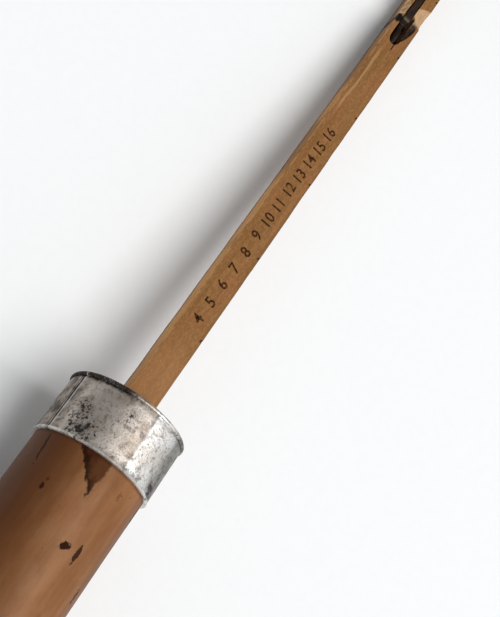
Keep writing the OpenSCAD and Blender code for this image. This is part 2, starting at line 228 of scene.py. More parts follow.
def where(mat, stretch=(1, 1, 1), centre=(0, 0, 0)):
    # place on the object in mm, from a centre in mm, squeezed by stretch
    coords = add(mat, "TexCoord").outputs["Object"]
    size = [1000 * s for s in stretch]
    shift = [-c * s for c, s in zip(centre, stretch)]
    return add(mat, "Mapping", {"Vector": coords, "Scale": size, "Location": shift}).outputs["Vector"]


def alongGrain(mat, stretch=(1, 1, 1)):
    # place along the cane's own line in mm, as layGrain left it on the mesh
    line = add(mat, "Attribute", attribute_name="grainLine", attribute_type="GEOMETRY").outputs["Vector"]
    return add(mat, "Mapping", {"Vector": line, "Scale": [1000 * s for s in stretch]}).outputs["Vector"]


def layGrain(piece, bendFrom=None, bend=None):
    # stretches a crook out straight, so that the grain of its wood follows the bend
    line = piece.data.attributes.new("grainLine", "FLOAT_VECTOR", "POINT")
    for v in piece.data.vertices:
        x, y, z = v.co
        if bend and (x > bendFrom * mm or y > bend * mm):
            turn = math.atan2(x - bendFrom * mm, bend * mm - y) if x > bendFrom * mm else math.pi
            away = math.hypot(x - bendFrom * mm, y - bend * mm) if x > bendFrom * mm else y - bend * mm
            x, y = bendFrom * mm + bend * mm * turn + max(0, bendFrom * mm - x), bend * mm - away
        line.data[v.index].vector = (x, y, z)


def grain(mat, vector, scale, detail=4, rough=0.55, distortion=0.0):
    return add(mat, "TexNoise", {"Vector": vector, "Scale": scale, "Detail": detail, "Roughness": rough,
                                 "Distortion": distortion}).outputs["Fac"]


def fade(mat, value, low, high, outLow=0.0, outHigh=1.0):
    return add(mat, "MapRange", {"Value": value, "From Min": low, "From Max": high, "To Min": outLow,
                                 "To Max": outHigh}, interpolation_type="SMOOTHSTEP").outputs["Result"]


def combine(mat, operation, first, *others):
    for other in others:
        first = add(mat, "Math", {0: first, 1: other}, operation=operation).outputs[0]
    return first


def plus(mat, *values):
    return combine(mat, "ADD", *values)


def minus(mat, *values):
    return combine(mat, "SUBTRACT", *values)


def times(mat, *values):
    return combine(mat, "MULTIPLY", *values)


def most(mat, *values):
    return combine(mat, "MAXIMUM", *values)


def least(mat, *values):
    return combine(mat, "MINIMUM", *values)


def distance(mat, value, middle=0.0):
    return add(mat, "Math", {0: minus(mat, value, middle)}, operation="ABSOLUTE").outputs[0]


def mix(mat, amount, a, b, blend="MIX"):
    return add(mat, "Mix", {0: amount, 6: a, 7: b}, data_type="RGBA", blend_type=blend).outputs[2]


def axes(mat, vector):
    return add(mat, "SeparateXYZ", {"Vector": vector}).outputs


def send(mat, colour=None, roughness=None, height=None, depth=0.1, strength=1.0):
    # links the finished values to the shader; height is in units of depth mm
    shader = mat.node_tree.nodes["Principled BSDF"]
    link = mat.node_tree.links.new
    if colour is not None:
        link(colour, shader.inputs["Base Color"])
    if roughness is not None:
        link(roughness, shader.inputs["Roughness"])
    if height is not None:
        bump = add(mat, "Bump", {"Height": height, "Strength": strength, "Distance": depth * mm})
        link(bump.outputs["Normal"], shader.inputs["Normal"])
    return mat


def blotch(mat, up, turn, radius, sizes, slant=0.0, ragged=0.35):
    # a mark on a round surface: up from the mouth in mm, turned from the front towards +Y in degrees,
    # with its sizes along and across the cane in mm
    a = math.radians(turn)
    spot = (mouthX + up, radius * math.sin(a), radius * math.cos(a))
    turnTo = (Matrix.Rotation(-a, 3, "X") @ Matrix.Rotation(math.radians(slant), 3, "Z")).to_euler()
    coords = add(mat, "TexCoord").outputs["Object"]
    span = (sizes[0] * mm, sizes[1] * mm, 4 * mm)
    local = add(mat, "Mapping", {"Vector": coords, "Location": [s * mm for s in spot], "Rotation": turnTo,
                                 "Scale": span}, vector_type="TEXTURE").outputs["Vector"]
    far = add(mat, "VectorMath", {0: local}, operation="LENGTH").outputs["Value"]
    jitter = fade(mat, grain(mat, where(mat), 1.6, 3), 0.3, 0.7, -ragged, ragged)
    return fade(mat, plus(mat, far, jitter), 1.15, 0.75)


# camera

view = {
    "place": (0.76212, 0.03418, 0.18792),
    "turn": (16.233, -26.198, -56.396),
    "lens": 68.14,
}
cameraData = bpy.data.cameras.new("camera")
cameraData.lens = view["lens"]
cameraData.sensor_fit = "HORIZONTAL"
cameraData.sensor_width = 36
cameraData.clip_start = 0.005
camera = bpy.data.objects.new("camera", cameraData)
camera.location = view["place"]
camera.rotation_euler = [math.radians(t) for t in view["turn"]]
bpy.context.scene.collection.objects.link(camera)
bpy.context.scene.camera = camera
bpy.context.scene.view_settings.view_transform = "Standard"
print("camera placed")

# shaft

shaftSizes = {
    "foot": 8.0,
    "ferruleTop": 45.0,
    "lowRadius": 8.7,
    "topRadius": 13.1,
    "swell": 1.8,
    "collarFoot": 811.8,
    "mouth": 825.3,
    "bore": 5.7,
    "bushRadius": 8.0,
    "bushFoot": 811.3,
    "seatRadius": 7.7,
    "waver": 0.16,
}


def makeRattan():
    mat = newMaterial("rattan", specular=0.14)
    streaks = grain(mat, alongGrain(mat, (0.05, 1, 1)), 0.6, 5, 0.5)
    clouds = grain(mat, alongGrain(mat, (0.45, 1, 1)), 0.3, 5, 0.6)
    threads = grain(mat, alongGrain(mat, (0.02, 1, 1)), 5.5, 3, 0.6)
    patches = grain(mat, alongGrain(mat, (0.4, 1, 1)), 0.12, 4, 0.5)
    tone = mix(mat, fade(mat, streaks, 0.3, 0.72), paint(129, 83, 48), paint(145, 98, 61))
    tone = mix(mat, fade(mat, clouds, 0.40, 0.64, 0, 0.5), tone, paint(154, 110, 74))
    tone = mix(mat, fade(mat, patches, 0.35, 0.68, 0, 0.65), tone, paint(112, 69, 36))
    tone = mix(mat, fade(mat, threads, 0.55, 0.8, 0, 0.18), tone, paint(84, 48, 26))
    specks = grain(mat, where(mat, (0.6, 1, 1)), 1.9, 2)
    tone = mix(mat, fade(mat, specks, 0.70, 0.78, 0, 0.6), tone, paint(70, 36, 20))
    # painted shade: the side away from the lamp is drawn darker in the colour, and the other flank a little
    acrossCane = axes(mat, alongGrain(mat))["Y"]
    tone = mix(mat, fade(mat, acrossCane, -2, 11.0, 0, 0.85), tone, paint(86, 47, 20))
    tone = mix(mat, fade(mat, acrossCane, -9.4, -12.8, 0, 0.8), tone, paint(84, 50, 27))
    # small stains and scratches: place, turn, sizes, slant, raggedness, strength
    stains = [
        (-31.5, -10.8, (0.78, 1.15), 34, 0.3, 0.95),
        (-31.3, -25.0, (2.0, 0.5), -3, 0.3, 0.88),
        (-24.7, 34.6, (0.8, 0.45), 0, 0.35, 0.85),
        (-23.2, 33.6, (0.4, 0.3), 0, 0.4, 0.5),
        (-17.8, 57.5, (3.8, 0.32), 8, 0.4, 0.7),
        (-36.8, -57.0, (1.6, 0.5), 0, 0.4, 0.7),
        (-17.9, -27.0, (0.9, 0.5), 0, 0.5, 0.35),
        # this mark, under the end of the collar's lip, is painted shade
        (-17.4, -69.0, (2.4, 0.6), 0, 0.4, 0.8),
    ]
    soaked = 0.0
    skin = shaftSizes["topRadius"] - 0.2
    for up, turn, sizes, slant, raggedness, strength in stains:
        stain = times(mat, blotch(mat, up, turn, skin, sizes, slant, raggedness), strength)
        tone = mix(mat, stain, tone, paint(30, 7, 1))
        soaked = most(mat, soaked, stain)
    # the wedge-shaped stain that runs down from the collar
    wedge = axes(mat, where(mat, centre=(mouthX, 0, 0)))
    ragged = fade(mat, grain(mat, where(mat), 0.8, 4), 0.3, 0.7, -0.5, 0.5)
    across = plus(mat, wedge["Y"], ragged)
    leftLine = plus(mat, minus(mat, times(mat, wedge["X"], 0.77), across), 16.7)
    soft = plus(mat, wedge["Y"], times(mat, ragged, 0.4))
    rightLine = plus(mat, soft, times(mat, wedge["X"], 0.13), 3.1)
    inside = least(mat, leftLine, rightLine)
    face = fade(mat, wedge["Z"], 9, 11)
    wet = times(mat, fade(mat, inside, -0.3, 0.45), face)
    rim = times(mat, fade(mat, inside, -0.3, 0.1), fade(mat, leftLine, 1.9, 0.3), face)
    tone = mix(mat, times(mat, wet, fade(mat, clouds, 0.38, 0.6, 0.92, 0.76)), tone, paint(54, 20, 3))
    tone = mix(mat, times(mat, rim, 0.8), tone, paint(26, 8, 2))
    # dirt and painted contact shade where the collar's lip meets the wood
    lipDirtAndShade = fade(mat, wedge["X"], -15.0, -14.3, 0, 0.55)
    tone = mix(mat, times(mat, lipDirtAndShade, fade(mat, clouds, 0.35, 0.6, 0.4, 1.0)), tone, paint(44, 22, 10))
    rough = most(mat, fade(mat, patches, 0.3, 0.7, 0.44, 0.54), wet, soaked)
    ripples = grain(mat, alongGrain(mat, (0.3, 1, 1)), 0.5, 3)
    height = plus(mat, times(mat, streaks, 0.6), times(mat, ripples, 0.8))
    return send(mat, tone, rough, height, 0.12, 0.5)


def makeShaft():
    s = shaftSizes
    rings = 60
    outline = [(s["foot"], s["bore"]), (s["foot"], s["seatRadius"]), (s["ferruleTop"], s["seatRadius"])]
    for i in range(rings + 1):
        t = i / rings
        radius = s["lowRadius"] + (s["topRadius"] - s["lowRadius"]) * t ** s["swell"]
        outline.append((s["ferruleTop"] + (s["collarFoot"] - s["ferruleTop"]) * t, radius))
    outline += [(s["mouth"], s["topRadius"]), (s["mouth"], s["bushRadius"]), (s["bushFoot"], s["bushRadius"]),
                (s["bushFoot"], s["bore"]), (s["foot"], s["bore"])]
    shaft = turned("rattanShaft", outline, 128)
    low, high = s["ferruleTop"] + 1, s["collarFoot"] - 1
    waver(shaft, s["waver"], 16, lambda v: low < v.x < high and math.hypot(v.y, v.z) > s["bushRadius"])
    smooth(shaft, 40)
    layGrain(shaft)
    return shaft


rattan = makeRattan()
finishPiece(makeShaft(), "cane", ["shaft"], rattan)
print("shaft made")

# collar

collarSizes = {
    "foot": 811.8,
    "top": 826.0,
    "inner": 13.1,
    "wall": 0.7,
    "lipHeight": 0.5,
    "lipOut": 0.12,
    "beadRadius": 0.5,
    "beadOut": 0.35,
    "mouthRadius": 6.8,
    "seamTurn": 65.6,
    "seamDepth": 0.12,
    "seamWidth": 0.22,
    "seamLap": 0.75,
    "dents": 0.07,
}


def makeSilver():
    mat = newMaterial("silver", metallic=1.0)
    place = where(mat, centre=(mouthX, 0, 0))
    along = axes(mat, place)
    broad = grain(mat, place, 0.2, 4, 0.6)
    mottle = grain(mat, place, 0.62, 7, 0.7, 0.3)
    speckle = grain(mat, place, 2.2, 5, 0.7)
    litSideTone = mix(mat, fade(mat, broad, 0.38, 0.62), paint(243, 242, 239), paint(222, 216, 209))
    # painted reflection: warmer and duller towards the front, brighter and cooler towards the lamp, as the
    # silver mirrors its surroundings and the lamp
    shadedSide = fade(mat, plus(mat, along["Y"], times(mat, broad, 1.5)), -2.6, -1.4)
    shadedSideTone = mix(mat, fade(mat, broad, 0.4, 0.6), paint(193, 180, 167), paint(167, 149, 133))
    tone = mix(mat, times(mat, shadedSide, 0.8), litSideTone, shadedSideTone)
    tone = mix(mat, fade(mat, mottle, 0.48, 0.66, 0, 0.75), tone, paint(124, 113, 106))
    tone = mix(mat, fade(mat, speckle, 0.55, 0.68, 0, 0.8), tone, paint(88, 78, 74))
    # painted reflection of the rule: a dark upright stripe where the two tones meet
    reflectionStripe = fade(mat, distance(mat, along["Y"], -2.9), 0.5, 0.15)
    tone = mix(mat, times(mat, reflectionStripe, fade(mat, mottle, 0.3, 0.6, 0.25, 0.75)), tone, paint(126, 117, 110))
    # painted shade: both flanks are drawn dull and dark, with a patchy strength
    shadedFlanks = most(mat, fade(mat, along["Y"], 10.6, 12.6), fade(mat, along["Y"], -7.6, -11.6, 0, 0.95))
    flankPatches = fade(mat, grain(mat, place, 0.34, 5, 0.6), 0.4, 0.58, 0.3, 0.95)
    worn = most(mat, flankPatches, fade(mat, along["Y"], -7, -9, 0, 0.8))
    tone = mix(mat, times(mat, shadedFlanks, worn), tone, paint(78, 73, 69))
    # painted highlight: the rolled lower lip is drawn bright
    lip = fade(mat, along["X"], -13.55, -13.8)
    tone = mix(mat, times(mat, lip, fade(mat, mottle, 0.68, 0.4, 0.2, 0.9)), tone, paint(232, 228, 222))
    # black tarnish in the crease under the bead and in a few worn places
    nearTop = fade(mat, plus(mat, along["X"], times(mat, mottle, 2.6)), -0.1, 0.9)
    nearTop = times(mat, nearTop, fade(mat, along["Y"], -2, 4, 0.2, 1.0))
    black = times(mat, nearTop, 0.85)
    # place, turn, sizes, slant, raggedness
    tarnished = [
        (-11.7, 36.0, (1.9, 2.4), 20, 0.9),
        (-12.3, -53.0, (1.3, 1.1), 0, 0.5),
        (-8.6, 46.0, (1.7, 1.5), 0, 0.9),
        (-5.2, 8.0, (0.9, 0.7), 0, 0.9),
    ]
    outer = collarSizes["inner"] + collarSizes["wall"]
    for up, turn, sizes, slant, raggedness in tarnished:
        black = most(mat, black, blotch(mat, up, turn, outer, sizes, slant, raggedness))
    black = times(mat, black, fade(mat, mottle, 0.34, 0.55))
    topRim = fade(mat, plus(mat, along["X"], times(mat, mottle, 1.6)), -1.0, -0.3)
    topRim = times(mat, topRim, fade(mat, along["Y"], 2, 5))
    black = most(mat, black, times(mat, topRim, fade(mat, speckle, 0.36, 0.46)))
    tone = mix(mat, times(mat, black, 0.92), tone, paint(42, 35, 32))
    # the soldered seam: two dark lines, with a bright strip beside them that is a painted highlight on its
    # ridge
    turn = math.radians(collarSizes["seamTurn"])
    aside = minus(mat, times(mat, along["Y"], math.cos(turn)), times(mat, along["Z"], math.sin(turn)))
    leftHalf = fade(mat, along["Y"], 0, 1)
    line = times(mat, fade(mat, distance(mat, aside), 0.3, 0.1), leftHalf)
    second = times(mat, fade(mat, distance(mat, aside, collarSizes["seamLap"]), 0.22, 0.06), leftHalf)
    line = most(mat, line, times(mat, second, 0.7))
    ridge = times(mat, fade(mat, distance(mat, aside, -0.5), 0.3, 0.1), leftHalf)
    tone = mix(mat, times(mat, line, 0.85), tone, paint(46, 40, 38))
    tone = mix(mat, times(mat, ridge, 0.7), tone, paint(206, 200, 194))
    rough = plus(mat, fade(mat, mottle, 0.4, 0.68, 0.42, 0.56), times(mat, shadedSide, 0.07))
    rough = most(mat, rough, times(mat, black, 0.6))
    height = plus(mat, times(mat, mottle, 0.6), times(mat, ridge, 0.4))
    height = minus(mat, height, times(mat, speckle, 0.35), times(mat, line, 0.4))
    return send(mat, tone, rough, height, 0.2, 0.8)


def makeCollar():
    s = collarSizes
    outer = s["inner"] + s["wall"]
    lip, lipTop = outer + s["lipOut"], s["foot"] + s["lipHeight"]
    outline = [(s["foot"], s["inner"]), (s["foot"], lip - 0.15), (s["foot"] + 0.15, lip),
               (lipTop - 0.1, lip - 0.03), (lipTop + 0.1, outer)]
    steps = 12
    rise = (s["top"] - s["foot"] - 1.5 * s["lipHeight"] - 2 * s["beadRadius"]) / steps
    for i in range(1, steps + 1):
        outline.append((lipTop + i * rise, outer))
    # the bead round the top is half a circle
    beadX, beadY = s["top"] - s["beadRadius"], outer + s["beadOut"] - s["beadRadius"]
    for i in range(9):
        a = math.radians(22.5 * i - 90)
        outline.append((beadX + s["beadRadius"] * math.sin(a), beadY + s["beadRadius"] * math.cos(a)))
    outline += [(s["top"], beadY - 0.6), (s["top"] - 0.04, 11), (s["top"] - 0.04, s["mouthRadius"] + 0.25),
                (s["top"] - 0.25, s["mouthRadius"]), (s["top"] - s["wall"], s["mouthRadius"]),
                (s["top"] - s["wall"], s["inner"]), (s["foot"], s["inner"])]
    collar = turned("silverCollar", outline, 160)
    low, high = s["foot"] + 0.2, s["top"] - 0.1
    waver(collar, s["dents"], 3.5, lambda v: low < v.x < high and math.hypot(v.y, v.z) > s["inner"] + 0.3)
    # the two edges of the soldered seam are shallow grooves from the lip to the bead
    for aside, share in ((0, 1), (s["seamLap"], 0.7)):
        wide, deep = share * s["seamWidth"] / 2, share * s["seamDepth"]
        blade = block("seamBlade", (lipTop + 0.15, aside - wide, outer - deep),
                      (s["top"] - 2 * s["beadRadius"] - 0.1, aside + wide, outer + past / 2))
        blade.rotation_euler.x = -math.radians(s["seamTurn"])
        applyPlace(blade)
        carve(collar, blade)
    cleanUp(collar)
    smooth(collar, 50)
    return collar


silver = makeSilver()
finishPiece(makeCollar(), "cane", ["collar"], silver)
print("collar made")

# rule

ruleSizes = {
    "foot": 403.9,
    "top": 1144.9,
    "slotFoot": 961.5,
    "slotMiddle": 0.95,
    "slotWidth": 2.4,
    "slotFloor": armFloor - 0.2,
    "notchStep": 25.4,
    "firstNotch": 848.0,
    "notchesBelow": 17,
    "notchesAbove": 12,
    "notchWidth": 0.5,
    "notchDepth": 0.45,
    "tongueFoot": 1124.9,
    "tongueWidth": 4.5,
    "tongueDepth": 1.3,
    "rivetIn": 4.5,
    "rivetRadius": 0.8,
    "arris": 0.16,
}
pocketSizes = {
    "foot": 951.8,
    "middle": 0.5,
    "length": 14.6,
    "width": 3.4,
    "depth": 2.9,
    "flareFoot": 952.8,
    "flareMiddle": -0.45,
    "flareLength": 11.2,
    "flareWidth": 4.0,
    "flareDepth": 1.7,
    "flareTurn": -13.0,
    "bedFoot": 952.6,
    "bedTop": 961.9,
    "bedMiddle": 0.55,
    "bedWidth": 2.4,
}
scoopSizes = {
    "middle": 966.7,
    "stagger": 0.9,
    "length": 8.8,
    "depth": 1.8,
    "rim": 0.45,
}


def makeBoxwood():
    mat = newMaterial("boxwood", specular=0.15)
    s, cuts = ruleSizes, pocketSizes
    place = where(mat)
    at = axes(mat, place)
    streaks = grain(mat, where(mat, (0.07, 1, 1)), 0.9, 5, 0.55)
    lines = grain(mat, where(mat, (0.05, 1, 1)), 3.4, 4, 0.6)
    clouds = grain(mat, where(mat, (0.3, 1, 1)), 0.26, 4, 0.55)
    mottle = grain(mat, where(mat, (0.35, 1, 1)), 0.9, 4, 0.6)
    tone = mix(mat, fade(mat, streaks, 0.32, 0.68), paint(130, 90, 47), paint(149, 105, 62))
    tone = mix(mat, fade(mat, mottle, 0.42, 0.68, 0, 0.55), tone, paint(126, 84, 44))
    tone = mix(mat, fade(mat, clouds, 0.42, 0.70, 0, 0.5), tone, paint(150, 98, 60))
    tone = mix(mat, fade(mat, lines, 0.58, 0.80, 0, 0.35), tone, paint(100, 64, 32))
    fleck = grain(mat, where(mat, (0.5, 1, 1)), 2.4, 4, 0.65)
    tone = mix(mat, fade(mat, fleck, 0.50, 0.66, 0, 0.4), tone, paint(170, 124, 76))
    tone = mix(mat, fade(mat, fleck, 0.50, 0.36, 0, 0.35), tone, paint(112, 76, 40))
    pores = grain(mat, where(mat, (0.25, 1, 1)), 3.0, 2)
    tone = mix(mat, fade(mat, pores, 0.63, 0.74, 0, 0.45), tone, paint(90, 54, 26))
    # worn arrises are a little lighter, partly as a painted highlight on the edges
    flank = least(mat, distance(mat, at["Y"]), distance(mat, at["Z"]))
    arris = fade(mat, flank, half - 0.5, half - 0.1)
    tone = mix(mat, times(mat, arris, fade(mat, mottle, 0.42, 0.6, 0.0, 0.75)), tone, paint(186, 140, 90))
    darkEdge = fade(mat, at["Y"], 0.9 - half, 0.15 - half)
    tone = mix(mat, times(mat, darkEdge, fade(mat, mottle, 0.3, 0.6, 0.3, 0.65)), tone, paint(104, 70, 38))
    # painted light: the side face away from the lamp is drawn lighter and warmer, as if lit
    side = fade(mat, at["Y"], half - 0.12, half - 0.02)
    tone = mix(mat, times(mat, side, fade(mat, streaks, 0.3, 0.7, 0.3, 0.8)), tone, paint(168, 112, 54))
    # painted light: that side face is drawn paler still near the mouth and once more further up
    paintedSideLight = fade(mat, distance(mat, at["X"], 925), 10, 4, 0, 0.8)
    paintedSideLight = most(mat, paintedSideLight, fade(mat, at["X"], 902, 892))
    paintedSideLight = times(mat, side, paintedSideLight, fade(mat, mottle, 0.3, 0.6, 0.7, 0.95))
    tone = mix(mat, paintedSideLight, tone, paint(208, 150, 84))
    paler = fade(mat, at["X"], 852, 834, 0, 0.28)
    tone = mix(mat, paler, tone, paint(178, 128, 84))
    # painted shade: low down on the side away from the notches
    lowSideShade = times(mat, side, fade(mat, at["Z"], 2.6 - half, 0.8 - half, 0, 0.7))
    tone = mix(mat, lowSideShade, tone, paint(78, 50, 22))
    # dirt in the inch notches
    fromNotch = combine(mat, "PINGPONG", minus(mat, at["X"], s["firstNotch"]), s["notchStep"] / 2)
    nearEdge = most(mat, plus(mat, at["Y"], half), minus(mat, half, at["Z"]))
    notch = times(mat, fade(mat, fromNotch, 0.5, 0.2), fade(mat, nearEdge, 0.9, 0.4))
    tone = mix(mat, times(mat, notch, 0.85), tone, paint(56, 36, 22))
    # bare wood in the finger scoops; grime and painted shade in the slot, the pocket and the gouge
    below = minus(mat, half, at["Z"])
    fromSlot = distance(mat, at["Y"], s["slotMiddle"])
    inScoops = times(mat, fade(mat, at["X"], 961.4, 962.2), fade(mat, at["X"], 972.2, 971.2))
    besides = fade(mat, fromSlot, s["slotWidth"] / 2 + 0.05, s["slotWidth"] / 2 + 0.2)
    cutIn = fade(mat, plus(mat, below, times(mat, clouds, 0.15)), 0.14, 0.26)
    scoop = times(mat, inScoops, besides, cutIn, fade(mat, below, 2.3, 2.0))
    chips = grain(mat, where(mat, (0.3, 1, 1)), 1.8, 4)
    pale = mix(mat, fade(mat, chips, 0.42, 0.62), paint(190, 152, 116), paint(172, 138, 98))
    brown = mix(mat, fade(mat, chips, 0.40, 0.60), paint(212, 176, 136), paint(168, 130, 92))
    bareTone = mix(mat, fade(mat, at["Y"], 0, 1), pale, brown)
    tone = mix(mat, scoop, tone, bareTone)
    turn = math.radians(cuts["flareTurn"])
    centreX = cuts["flareFoot"] + cuts["flareLength"] / 2
    flareTop, flareWide = cuts["flareFoot"] + cuts["flareLength"], cuts["flareWidth"] / 2
    gouge = plus(mat, times(mat, minus(mat, at["X"], centreX), -math.sin(turn)),
                 times(mat, minus(mat, at["Y"], cuts["flareMiddle"]), math.cos(turn)))
    inGouge = times(mat, fade(mat, distance(mat, gouge), flareWide + 0.2, flareWide - 0.2),
                    fade(mat, at["X"], flareTop - 0.2, flareTop - 1.4))
    inSlot = fade(mat, fromSlot, s["slotWidth"] / 2 + 0.1, s["slotWidth"] / 2 - 0.1)
    pocketTop, pocketWide = cuts["foot"] + cuts["length"], cuts["width"] / 2
    inPocket = times(mat, fade(mat, at["X"], pocketTop - 0.6, pocketTop - 2.2),
                     fade(mat, distance(mat, at["Y"], cuts["middle"]), pocketWide + 0.1, pocketWide - 0.2))
    inside = most(mat, inGouge, inPocket, inSlot)
    grimeAndShade = times(mat, inside, fade(mat, below, 0.05, 0.4),
                  fade(mat, at["X"], cuts["foot"] - 1, cuts["foot"]))
    sootAndShadeTone = mix(mat, fade(mat, chips, 0.4, 0.62), paint(32, 17, 11), paint(78, 57, 46))
    tone = mix(mat, times(mat, grimeAndShade, 0.95), tone, sootAndShadeTone)
    # a short crack that runs on from the pocket's tip, and a dark chip on the arris, darkened also as painted
    # shade where the scoop begins
    front = fade(mat, below, 0.3, 0.05)
    crackLine = plus(mat, at["Y"], 0.15, times(mat, minus(mat, streaks, 0.5), 0.8))
    crack = times(mat, fade(mat, distance(mat, crackLine), 0.3, 0.06),
                  fade(mat, at["X"], 948.6, 950.6), fade(mat, at["X"], 953.0, 952.0))
    fromChip = distance(mat, plus(mat, at["X"], times(mat, chips, 3.4)), 962.6)
    chipAndShade = times(mat, fade(mat, fromChip, 2.0, 0.9),
                 fade(mat, plus(mat, at["Y"], times(mat, chips, 2.2)), half - 1.0, half - 0.1))
    tone = mix(mat, most(mat, times(mat, crack, 0.9), chipAndShade), tone, paint(16, 6, 2))
    # a paler scrape along the side away from the notches
    scrapeLine = minus(mat, at["Y"], times(mat, minus(mat, clouds, 0.5), 1.5))
    scrape = times(mat, fade(mat, distance(mat, scrapeLine, 2.15), 0.5, 0.1),
                   fade(mat, at["X"], 919, 926), fade(mat, at["X"], 951, 944))
    tone = mix(mat, times(mat, scrape, front, 0.6), tone, paint(184, 142, 100))
    rough = fade(mat, clouds, 0.3, 0.7, 0.48, 0.62)
    ripples = grain(mat, where(mat, (0.2, 1, 1)), 1.1, 4)
    height = plus(mat, times(mat, lines, 0.5), times(mat, ripples, 0.6))
    height = minus(mat, height, times(mat, most(mat, crack, chipAndShade), 2.0))
    return send(mat, tone, rough, height, 0.12, 0.6)


def discTrough(name, length, width, depth):
    # the cut that a disc with a round edge leaves in the rule's face, centred on the origin
    bend = ((length / 2) ** 2 + depth ** 2) / (2 * depth)
    wide = width / 2
    edge = [(wide, 0)]
    for degrees in range(0, 181, 15):
        a = math.radians(degrees)
        edge.append((wide * math.cos(a), bend - wide + wide * math.sin(a)))
    disc = turned(name, edge + [(-wide, 0)], 128)
    disc.rotation_euler = (0, 0, math.pi / 2)
    disc.location = (0, 0, (half + bend - depth) * mm)
    applyPlace(disc)
    return disc


def makeRule():
    s = ruleSizes
    rule = block("boxwoodRule", (s["foot"], -half, -half), (s["top"], half, half))
    roundEdges(rule, s["arris"], 3)
    # rings near the mouth, so that the edges can wander like worn ones, and beside each notch
    notches = [s["firstNotch"] + i * s["notchStep"] for i in range(-s["notchesBelow"], s["notchesAbove"])]
    rings = [mouthX + i * 2 for i in range(1, 61)] + [x + side * 1.3 for x in notches for side in (-1, 1)]
    edit(rule)
    for x in rings:
        bpy.ops.mesh.select_all(action="SELECT")
        bpy.ops.mesh.bisect(plane_co=(x * mm, 0, 0), plane_no=(1, 0, 0))
    leaveEdit(False)
    for v in rule.data.vertices:
        if mouthX < v.co.x / mm < mouthX + 121:
            drift = noise.noise(Vector((v.co.x / mm * 0.19, v.co.y / mm, v.co.z / mm)))
            v.co.y -= math.copysign(max(0, drift) * 0.13 * mm, v.co.y)
    mid, wide = s["slotMiddle"], s["slotWidth"] / 2
    carve(rule, block("slotCutter", (s["slotFoot"], mid - wide, s["slotFloor"]),
                      (s["top"] + past, mid + wide, half + past)))
    # room for the nose: a deep pocket, a slanting gouge beside it and a narrow bed
    cuts = pocketSizes
    pocket = discTrough("pocketCutter", cuts["length"], cuts["width"], cuts["depth"])
    pocket.location = ((cuts["foot"] + cuts["length"] / 2) * mm, cuts["middle"] * mm, 0)
    applyPlace(pocket)
    carve(rule, pocket)
    flare = discTrough("flareCutter", cuts["flareLength"], cuts["flareWidth"], cuts["flareDepth"])
    flare.rotation_euler = (0, 0, math.radians(cuts["flareTurn"]))
    flare.location = ((cuts["flareFoot"] + cuts["flareLength"] / 2) * mm, cuts["flareMiddle"] * mm, 0)
    applyPlace(flare)
    carve(rule, flare)
    bed, bedWide = cuts["bedMiddle"], cuts["bedWidth"] / 2
    carve(rule, block("bedCutter", (cuts["bedFoot"], bed - bedWide, s["slotFloor"] + hair),
                      (cuts["bedTop"], bed + bedWide, half + 2 * past)))
    # two finger scoops, deepest at the edges of the rule
    dips = scoopSizes
    radius = ((dips["length"] / 2) ** 2 + dips["depth"] ** 2) / (2 * dips["depth"])
    for side in (-1, 1):
        tilt = math.atan((dips["depth"] - dips["rim"]) / (half - side * mid - wide))
        scoop = rodAcross("scoopCutter", (0, 0, radius), radius, 30, 128)
        scoop.rotation_euler = (-side * tilt, 0, 0)
        x = dips["middle"] - max(side, 0) * dips["stagger"]
        scoop.location = (x * mm, (mid + side * wide) * mm, (half - dips["rim"]) * mm)
        applyPlace(scoop)
        edit(scoop)
        bpy.ops.mesh.bisect(plane_co=(0, mid * mm, 0), plane_no=(0, side, 0), clear_inner=True, use_fill=True)
        leaveEdit()
        carve(rule, scoop)
    # inch notches on the edge towards -Y, filed by hand
    notchWide, deep = s["notchWidth"] / 2, s["notchDepth"]
    for i, x in enumerate(notches, -s["notchesBelow"]):
        lean = noise.noise(Vector((i * 1.7, 3.1, 0)))
        size = 1 + 0.3 * noise.noise(Vector((i * 2.3, 7.7, 0)))
        notch = block("notchCutter", (-notchWide, -deep, -deep), (notchWide, deep, deep))
        notch.rotation_euler = (math.radians(8 * lean), 0, math.radians(14 * lean))
        notch.scale = (size, size, size)
        notch.location = (x * mm, -half * mm, half * mm)
        applyPlace(notch)
        carve(rule, notch)
    # the step for the head block's tongue, with its rivets
    tongue = s["tongueWidth"] / 2
    carve(rule, block("tongueCutter", (s["tongueFoot"], -tongue, -half - past),
                      (s["top"] + past, tongue, -half + s["tongueDepth"])))
    for x in (s["tongueFoot"] + s["rivetIn"], s["top"] - s["rivetIn"]):
        drill(rule, x, -2.5, s["rivetRadius"])
    cleanUp(rule)
    smooth(rule, 32)
    return rule


boxwood = makeBoxwood()
finishPiece(makeRule(), "rule", ["rule"], boxwood)
print("rule made")

# stamped numbers

numberSizes = {
    "first": 4,
    "last": 16,
    "from": 851.8,
    "to": 914.4,
    "tall": 2.75,
    "fontShare": 1.38,
    "bold": 0.06,
    "thick": 0.016,
}


def makeInk():
    mat = newMaterial("stampedInk", roughness=0.8, specular=0.05)
    worn = grain(mat, where(mat), 2.4, 4, 0.6)
    tone = mix(mat, fade(mat, worn, 0.46, 0.66), paint(46, 26, 13), paint(104, 68, 38))
    return send(mat, tone, None, worn, 0.05, 0.5)


